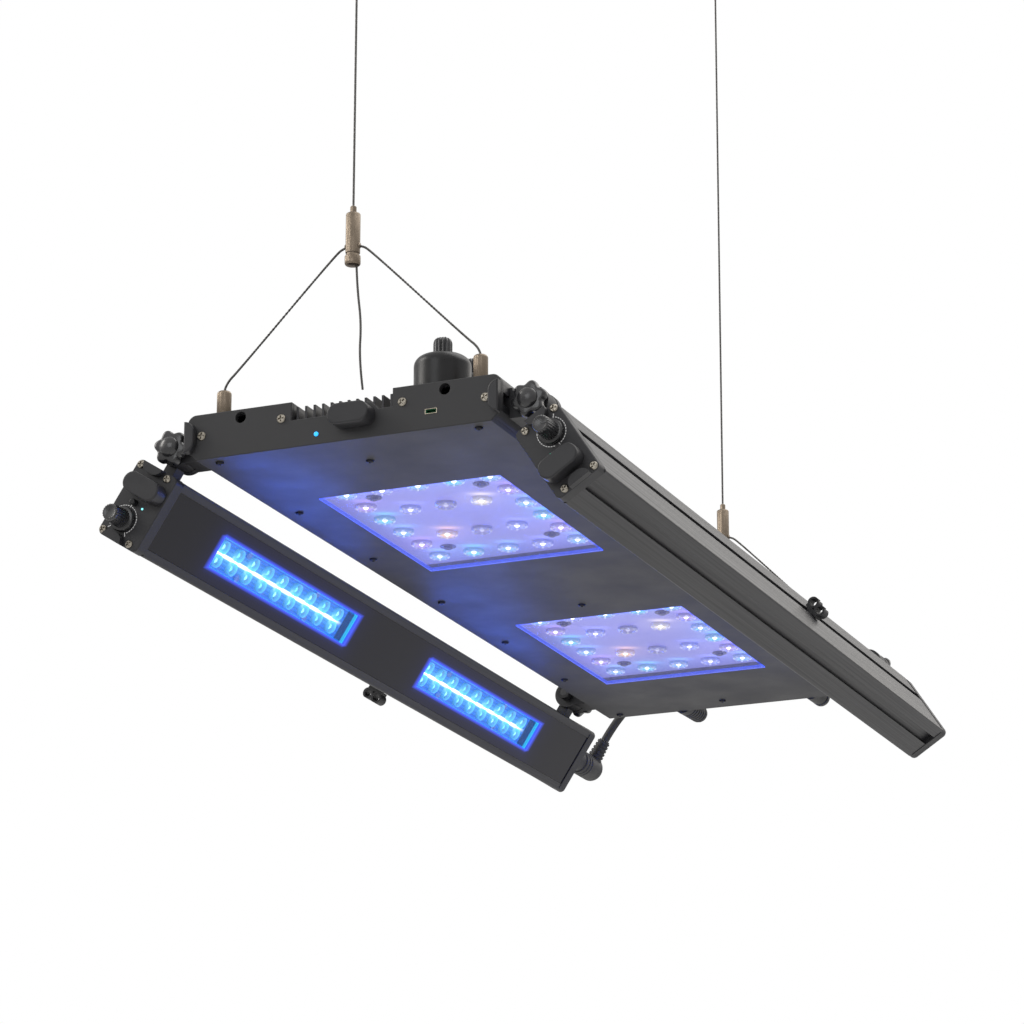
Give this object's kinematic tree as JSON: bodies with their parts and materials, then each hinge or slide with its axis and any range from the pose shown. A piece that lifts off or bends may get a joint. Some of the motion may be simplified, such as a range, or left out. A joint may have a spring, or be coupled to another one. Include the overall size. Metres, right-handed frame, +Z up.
{
  "type": "led aquarium light",
  "caption": "Ceiling-hung slim LED aquarium fixture with lit windows in its underside, finned heatsink and a tilting LED light bar hinged along each long side.",
  "frame": {"origin": "on the ceiling plane, midway between the two ceiling screws that carry the cables", "axes": "+X along the fixture towards its control end, +Y across it, +Z up to the ceiling"},
  "size_m": [0.8004, 0.3498, 0.6966],
  "materials": {
    "black_anodised": "satin black anodised extrusion",
    "black_plate": "fine matt black powder coat",
    "black_plastic": "fine-textured black moulding",
    "knob_plastic": "semi-gloss black moulding",
    "black_screws": "black zinc",
    "steel_screws": "plain zinc",
    "circuit_board": "white solder mask",
    "clear_lens": "clear moulded lens",
    "window_plastic": "ribbed clear sheet",
    "gloss_cover": "glossy black strip",
    "nickel": "brushed nickel",
    "cable_steel": "black-coated stranded cable",
    "lead_rubber": "matt rubber",
    "status_blue": "clear blue light pipe"
  },
  "bodies": {
    "root": {"antenna_cover": "black_plastic", "board_screws": "steel_screws", "bottom_plate": "black_plate", "bottom_screws": "black_screws", "bracket_bases": "black_plastic", "ceiling_fittings": "nickel", "circuit_boards": "circuit_board", "dimmer_housings": "black_plastic", "far_cable": "cable_steel", "far_end_plate": "black_plate", "far_sling": "cable_steel", "gripper_barrels": "nickel", "hinge_nuts": "knob_plastic", "led_boards": "circuit_board", "left_lead": "lead_rubber", "lens_array": "clear_lens", "main_extrusion": "black_anodised", "near_cable": "cable_steel", "near_end_plate": "black_plate", "near_sling": "cable_steel", "near_tail": "cable_steel", "plate_screws": "black_screws", "power_inlets": "black_plastic", "rail_anchors": "nickel", "slot_plugs": "black_plastic", "status_light": "status_blue", "window_panes": "window_plastic"},
    "left_bar": {"left_bar_cover": "gloss_cover", "left_bar_extrusion": "black_anodised", "left_bar_panes": "window_plastic", "left_bracket_arms": "black_plastic", "left_cable_clip": "black_plastic", "left_cap_screws": "black_screws", "left_far_cap": "black_plastic", "left_lead_plug": "lead_rubber", "left_led_strips": "circuit_board", "left_near_cap": "black_plastic", "left_port_covers": "black_plastic"},
    "right_bar": {"right_bar_cover": "gloss_cover", "right_bar_extrusion": "black_anodised", "right_bar_panes": "window_plastic", "right_bracket_arms": "black_plastic", "right_cable_clip": "black_plastic", "right_cap_screws": "black_screws", "right_far_cap": "black_plastic", "right_led_strips": "circuit_board", "right_near_cap": "black_plastic", "right_port_covers": "black_plastic"},
    "left_near_knob_body": {"left_near_knob": "knob_plastic"},
    "left_far_knob_body": {"left_far_knob": "knob_plastic"},
    "right_near_knob_body": {"right_near_knob": "knob_plastic"},
    "right_far_knob_body": {"right_far_knob": "knob_plastic"},
    "front_dimmer_knob_body": {"front_dimmer_knob": "knob_plastic"},
    "rear_dimmer_knob_body": {"rear_dimmer_knob": "knob_plastic"},
    "left_dial_body": {"left_dial": "knob_plastic"},
    "left_button_body": {"left_button": "knob_plastic"},
    "right_dial_body": {"right_dial": "knob_plastic"},
    "right_button_body": {"right_button": "knob_plastic"},
    "near_plunger_body": {"near_plunger": "nickel"},
    "far_plunger_body": {"far_plunger": "nickel"}
  },
  "joints": [
    {"name": "left_bar_tilt", "type": "hinge", "parent": "root", "child": "left_bar", "pos_m": [0, -0.1258, -0.6261], "axis": [1, 0, 0], "range_deg": [-57, 25], "deforming": ["left_lead"]},
    {"name": "left_near_knob_turn", "type": "hinge", "parent": "root", "child": "left_near_knob_body", "pos_m": [0.346, -0.1258, -0.6261], "axis": [1, 0, 0], "range_deg": [-170, 170]},
    {"name": "left_far_knob_turn", "type": "hinge", "parent": "root", "child": "left_far_knob_body", "pos_m": [-0.346, -0.1258, -0.6261], "axis": [1, 0, 0], "range_deg": [-170, 170]},
    {"name": "left_dial_turn", "type": "hinge", "parent": "left_bar", "child": "left_dial_body", "pos_m": [0.357, -0.1565, -0.67246], "axis": [1, 0, 0], "range_deg": [-140, 140]},
    {"name": "left_button_press", "type": "slide", "parent": "left_bar", "child": "left_button_body", "axis": [-1, 0, 0], "range_m": [0, 0.0015], "stiffness_N_per_m": 500},
    {"name": "right_bar_tilt", "type": "hinge", "parent": "root", "child": "right_bar", "pos_m": [0, 0.1258, -0.6261], "axis": [1, 0, 0], "range_deg": [-25, 57]},
    {"name": "right_near_knob_turn", "type": "hinge", "parent": "root", "child": "right_near_knob_body", "pos_m": [0.346, 0.1258, -0.6261], "axis": [1, 0, 0], "range_deg": [-170, 170]},
    {"name": "right_far_knob_turn", "type": "hinge", "parent": "root", "child": "right_far_knob_body", "pos_m": [-0.346, 0.1258, -0.6261], "axis": [1, 0, 0], "range_deg": [-170, 170]},
    {"name": "right_dial_turn", "type": "hinge", "parent": "right_bar", "child": "right_dial_body", "pos_m": [0.357, 0.14299, -0.65166], "axis": [1, 0, 0], "range_deg": [-140, 140]},
    {"name": "right_button_press", "type": "slide", "parent": "right_bar", "child": "right_button_body", "axis": [-1, 0, 0], "range_m": [0, 0.0015], "stiffness_N_per_m": 500},
    {"name": "front_dimmer_turn", "type": "hinge", "parent": "root", "child": "front_dimmer_knob_body", "pos_m": [0.332, 0.0576, -0.5828], "axis": [0, 0, 1], "range_deg": [-140, 140]},
    {"name": "rear_dimmer_turn", "type": "hinge", "parent": "root", "child": "rear_dimmer_knob_body", "pos_m": [0.288, 0.0576, -0.5828], "axis": [0, 0, 1], "range_deg": [-140, 140]},
    {"name": "near_plunger_press", "type": "slide", "parent": "root", "child": "near_plunger_body", "axis": [0, 0, -1], "range_m": [0, 0.0025], "stiffness_N_per_m": 500},
    {"name": "far_plunger_press", "type": "slide", "parent": "root", "child": "far_plunger_body", "axis": [0, 0, -1], "range_m": [0, 0.0025], "stiffness_N_per_m": 500}
  ]
}
